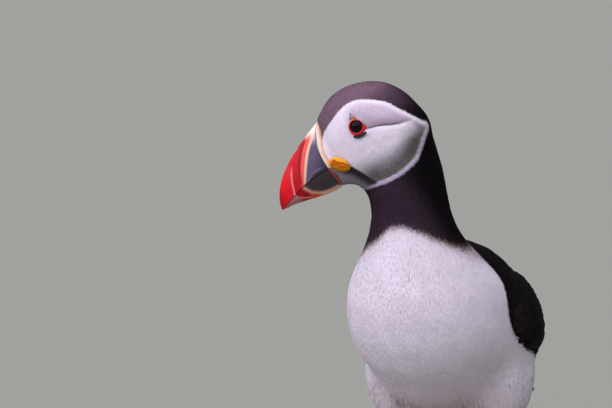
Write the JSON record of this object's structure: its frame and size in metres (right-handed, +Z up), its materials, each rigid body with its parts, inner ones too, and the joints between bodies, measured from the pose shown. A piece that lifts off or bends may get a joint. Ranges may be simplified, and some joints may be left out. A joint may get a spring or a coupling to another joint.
{
  "type": "atlantic puffin model",
  "caption": "Life-size still model of an Atlantic puffin in summer plumage, standing on both feet with its head turned over its right shoulder.",
  "frame": {"origin": "on the floor, midway across and along the bird's bounding box", "axes": "+Z up, the breast faces -Y and the tail +Y, the bird's left side is +X"},
  "size_m": [0.1108, 0.1952, 0.2051],
  "materials": {
    "face_feathers": "matt, short soft plumage, pale grey on the cheek and black on the crown",
    "white_feathers": "matt, dense white plumage",
    "black_feathers": "matt black plumage with a faint brown sheen",
    "bill_horn": "satin horn, red in front of a blue-grey plate, with grooves",
    "ridge_horn": "dull cream horn",
    "rosette_skin": "wrinkled bare skin, yellow-orange",
    "eyelid_skin": "smooth orange-red skin",
    "eye": "wet, nearly black",
    "plate_horn": "dull blue-grey horn",
    "foot_skin": "scaly orange-red skin",
    "claw_horn": "satin black horn"
  },
  "bodies": {
    "root": {"bill_lower": "bill_horn", "bill_ridge": "ridge_horn", "bill_upper": "bill_horn", "brow_plate_left": "plate_horn", "brow_plate_right": "plate_horn", "claw_inner_left": "claw_horn", "claw_inner_right": "claw_horn", "claw_middle_left": "claw_horn", "claw_middle_right": "claw_horn", "claw_outer_left": "claw_horn", "claw_outer_right": "claw_horn", "eye_left": "eye", "eye_right": "eye", "eye_ring_left": "eyelid_skin", "eye_ring_right": "eyelid_skin", "flight_feathers_left": "black_feathers", "flight_feathers_right": "black_feathers", "foot_left": "foot_skin", "foot_right": "foot_skin", "head": "face_feathers", "neck": "black_feathers", "rosette_left": "rosette_skin", "rosette_right": "rosette_skin", "shank_left": "foot_skin", "shank_right": "foot_skin", "tail": "black_feathers", "thigh_left": "white_feathers", "thigh_right": "white_feathers", "trunk": "white_feathers", "under_plate_left": "plate_horn", "under_plate_right": "plate_horn", "wing_left": "black_feathers", "wing_right": "black_feathers"}
  },
  "joints": []
}
